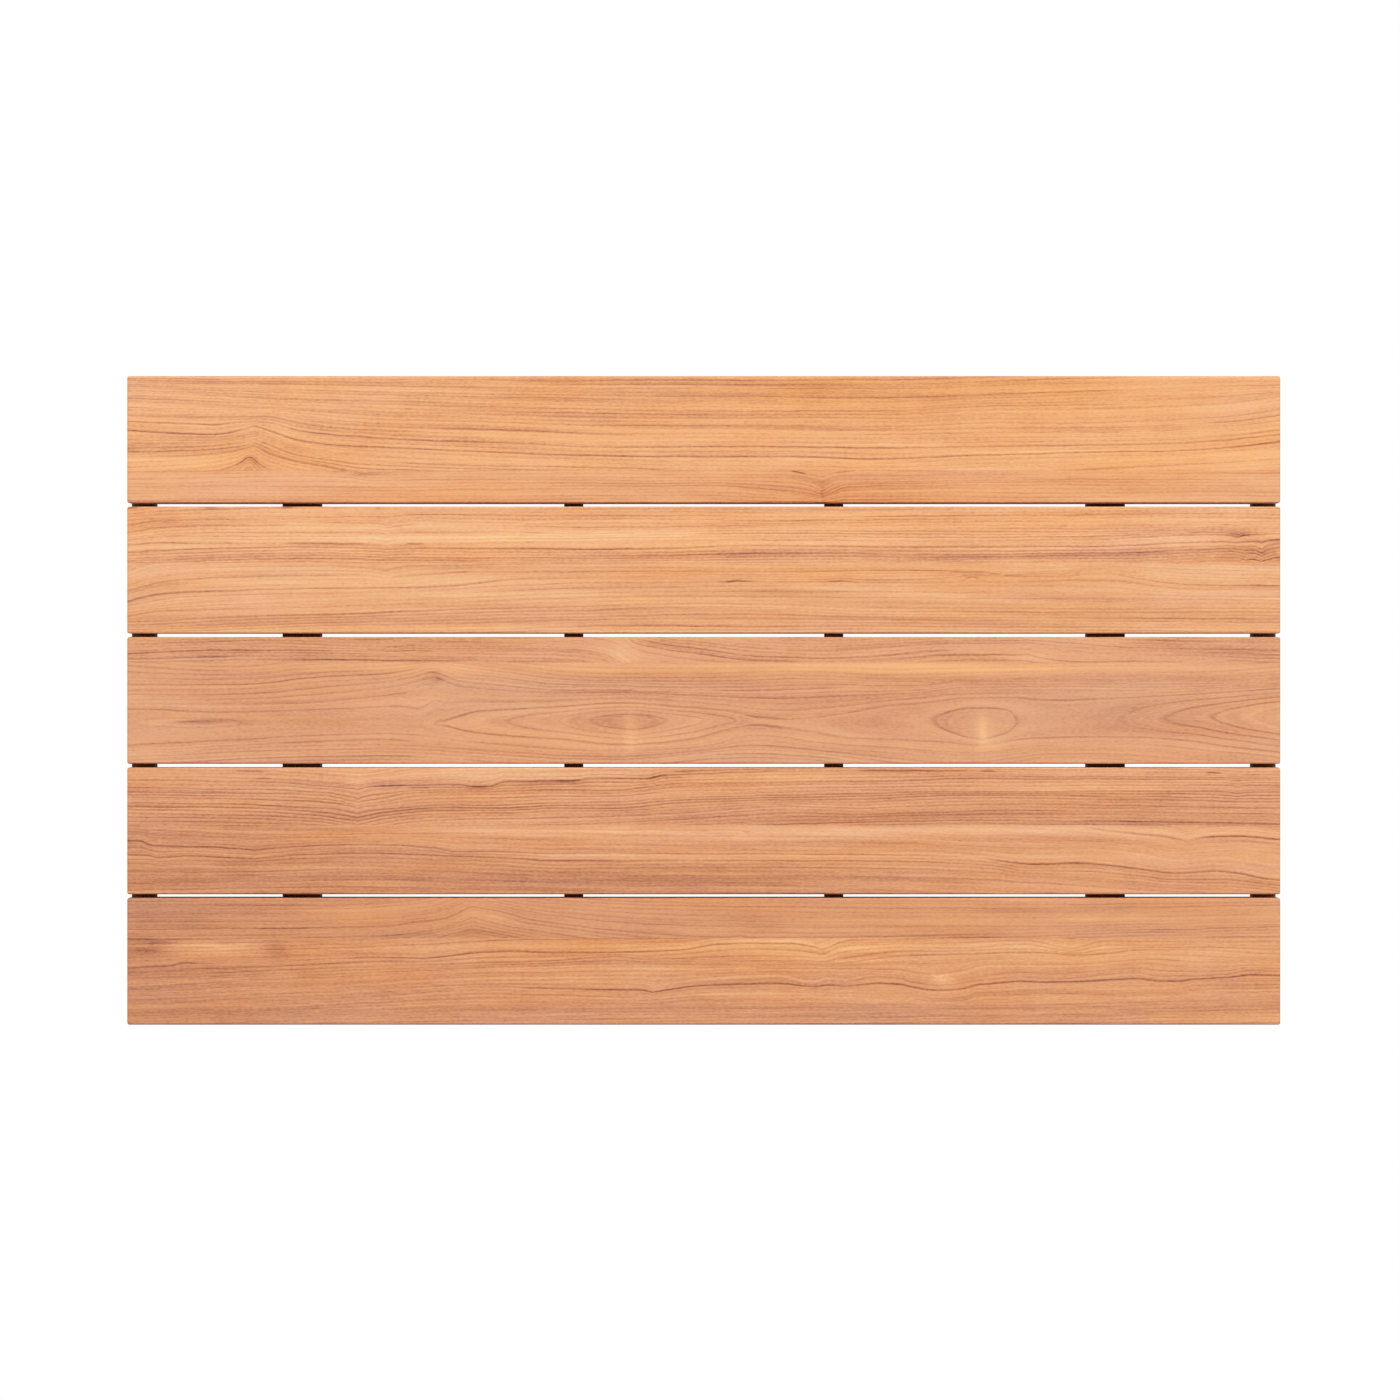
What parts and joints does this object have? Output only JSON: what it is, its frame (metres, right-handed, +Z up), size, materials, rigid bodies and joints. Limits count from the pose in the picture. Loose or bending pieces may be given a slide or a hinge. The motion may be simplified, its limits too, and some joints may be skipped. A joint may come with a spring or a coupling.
{
  "type": "bath mat",
  "caption": "Rigid slatted teak bath mat: wide edge-glued slats with narrow drainage gaps, screwed from below to cross battens that stand on rubber feet.",
  "frame": {"origin": "on the floor under the middle of the mat", "axes": "+X along the slats to the right, +Y across the slats to the back, +Z up out of the standing surface"},
  "size_m": [0.8, 0.45, 0.035],
  "materials": {
    "teak_slats": "sanded and oiled",
    "teak_battens": "planed, unoiled",
    "stainless_screws": "bright",
    "rubber_feet": "matt"
  },
  "bodies": {
    "root": {"slat_1_back_stave": "teak_slats", "slat_1_front_stave": "teak_slats", "slat_2_back_stave": "teak_slats", "slat_2_front_stave": "teak_slats", "slat_3_back_stave": "teak_slats", "slat_3_front_stave": "teak_slats", "slat_4_back_stave": "teak_slats", "slat_4_front_stave": "teak_slats", "slat_5_back_stave": "teak_slats", "slat_5_front_stave": "teak_slats", "left_end_batten": "teak_battens", "left_outer_twin_batten": "teak_battens", "left_inner_twin_batten": "teak_battens", "left_middle_batten": "teak_battens", "right_middle_batten": "teak_battens", "right_inner_twin_batten": "teak_battens", "right_outer_twin_batten": "teak_battens", "right_end_batten": "teak_battens", "left_end_screws": "stainless_screws", "left_outer_twin_screws": "stainless_screws", "left_inner_twin_screws": "stainless_screws", "left_middle_screws": "stainless_screws", "right_middle_screws": "stainless_screws", "right_inner_twin_screws": "stainless_screws", "right_outer_twin_screws": "stainless_screws", "right_end_screws": "stainless_screws", "left_end_feet": "rubber_feet", "left_outer_twin_feet": "rubber_feet", "left_inner_twin_feet": "rubber_feet", "left_middle_feet": "rubber_feet", "right_middle_feet": "rubber_feet", "right_inner_twin_feet": "rubber_feet", "right_outer_twin_feet": "rubber_feet", "right_end_feet": "rubber_feet"}
  },
  "joints": []
}
